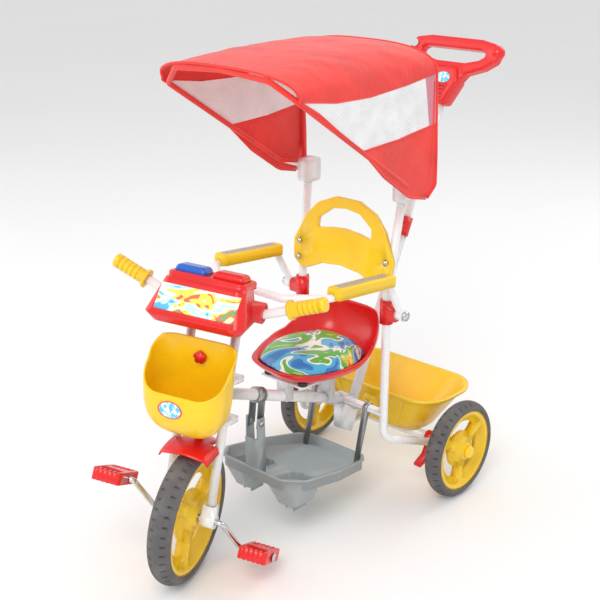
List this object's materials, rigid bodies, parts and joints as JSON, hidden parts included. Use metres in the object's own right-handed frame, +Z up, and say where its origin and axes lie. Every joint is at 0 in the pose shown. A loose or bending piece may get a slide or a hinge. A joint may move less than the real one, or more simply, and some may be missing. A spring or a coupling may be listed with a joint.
{
  "type": "children's tricycle",
  "caption": "Children's pedal tricycle with push handle, folding sun canopy, safety ring, footrest, and baskets in front and behind.",
  "frame": {"origin": "centre of the bounding box's footprint, on the ground", "axes": "+Z up, +X to the rider's left, -Y forward; front wheel turned 22 degrees to the rider's left as stored"},
  "size_m": [0.443, 0.9092, 0.903],
  "materials": {
    "white_paint": "gloss",
    "bright_steel": "polished",
    "strap_steel": "satin",
    "steel_axle": "satin",
    "yellow_plastic": "gloss",
    "red_plastic": "gloss",
    "blue_plastic": "gloss",
    "white_plastic": "gloss",
    "grey_plastic": "satin",
    "tyre_rubber": "matte",
    "rubber": "matte",
    "canopy_cloth": "woven",
    "pad_vinyl": "printed vinyl",
    "label_film": "gloss"
  },
  "bodies": {
    "frame": {"rear_axle_tube": "white_paint", "rear_axle": "steel_axle", "left_post": "white_paint", "right_post": "white_paint", "cross_tube": "white_paint", "head_tube": "white_paint", "main_tube": "white_paint", "handle_socket": "white_plastic", "handle_lower_tube": "white_paint", "handle_collar": "red_plastic", "left_canopy_bracket": "white_plastic", "right_canopy_bracket": "white_plastic", "backrest": "yellow_plastic", "seat_shell": "red_plastic", "seat_pad": "pad_vinyl", "seat_bracket": "white_paint", "seat_bumpers": "rubber", "footrest_tray": "grey_plastic", "footrest_hangers": "strap_steel", "rear_basket": "yellow_plastic", "panel_screws": "bright_steel", "left_armrest_clamp": "red_plastic", "right_armrest_clamp": "red_plastic", "pivot_bolts": "bright_steel"},
    "steering": {"handlebar": "white_paint", "left_fork_leg": "white_paint", "right_fork_leg": "white_paint", "steerer_tube": "bright_steel", "fork_crowns": "white_paint", "front_basket": "yellow_plastic", "basket_knob": "red_plastic", "front_fender": "red_plastic", "console_front": "red_plastic", "console_rear": "red_plastic", "blue_lamp": "blue_plastic", "red_lamp": "red_plastic", "console_label": "label_film", "left_grip": "yellow_plastic", "right_grip": "yellow_plastic", "wheel_bearings": "white_paint"},
    "front_wheel": {"front_tyre": "tyre_rubber", "front_rim": "yellow_plastic", "crank_shaft": "bright_steel"},
    "left_pedal": {"left_pedal": "red_plastic"},
    "right_pedal": {"right_pedal": "red_plastic"},
    "left_rear_wheel": {"left_rear_tyre": "tyre_rubber", "left_rear_rim": "yellow_plastic", "left_hub_cap": "yellow_plastic"},
    "right_rear_wheel": {"right_rear_tyre": "tyre_rubber", "right_rear_rim": "yellow_plastic", "right_hub_cap": "yellow_plastic"},
    "canopy_back": {"canopy_back_hoop": "white_paint", "canopy_fabric": "canopy_cloth"},
    "canopy_front": {"canopy_front_hoop": "white_paint"},
    "safety_ring": {"safety_ring": "white_paint", "left_armrest_pad": "yellow_plastic", "right_armrest_pad": "yellow_plastic"},
    "push_handle": {"handle_upper_tube": "white_paint", "handle_grip": "red_plastic"},
    "brake_lever": {"brake_lever": "red_plastic"}
  },
  "joints": [
    {"name": "steering_turn", "type": "hinge", "parent": "frame", "child": "steering", "pos_m": [0, -0.26382, 0.33129], "axis": [0, 0.225, 0.9744], "range_deg": [-52, 8]},
    {"name": "front_wheel_spin", "type": "hinge", "parent": "steering", "child": "front_wheel", "pos_m": [0.0085, -0.33313, 0.12464], "axis": [0.9272, 0.365, -0.0843], "continuous": true},
    {"name": "left_rear_wheel_spin", "type": "hinge", "parent": "frame", "child": "left_rear_wheel", "pos_m": [0.1915, 0.2281, 0.0985], "axis": [1, 0, 0], "continuous": true},
    {"name": "right_rear_wheel_spin", "type": "hinge", "parent": "frame", "child": "right_rear_wheel", "pos_m": [-0.1915, 0.2281, 0.0985], "axis": [1, 0, 0], "continuous": true},
    {"name": "canopy_tilt", "type": "hinge", "parent": "frame", "child": "canopy_back", "pos_m": [0, 0.1231, 0.64], "axis": [-1, 0, 0], "range_deg": [-10, 30]},
    {"name": "canopy_fold", "type": "hinge", "parent": "canopy_back", "child": "canopy_front", "pos_m": [0, 0.1231, 0.64], "axis": [-1, 0, 0], "range_deg": [0, 40], "deforming": ["canopy_fabric"]},
    {"name": "safety_ring_lift", "type": "hinge", "parent": "frame", "child": "safety_ring", "pos_m": [0, 0.0931, 0.408], "axis": [-1, 0, 0], "range_deg": [0, 50]},
    {"name": "push_handle_height", "type": "slide", "parent": "frame", "child": "push_handle", "axis": [0, 0.4226, 0.9063], "range_m": [-0.12, 0.05]},
    {"name": "brake_press", "type": "hinge", "parent": "frame", "child": "brake_lever", "pos_m": [0.124, 0.2281, 0.0985], "axis": [1, 0, 0], "range_deg": [0, 20]},
    {"name": "left_pedal_spin", "type": "hinge", "parent": "front_wheel", "child": "left_pedal", "pos_m": [0.10122, -0.25696, 0.05062], "axis": [0.9272, 0.365, -0.0843], "continuous": true},
    {"name": "right_pedal_spin", "type": "hinge", "parent": "front_wheel", "child": "right_pedal", "pos_m": [-0.08421, -0.40929, 0.19867], "axis": [0.9272, 0.365, -0.0843], "continuous": true}
  ]
}
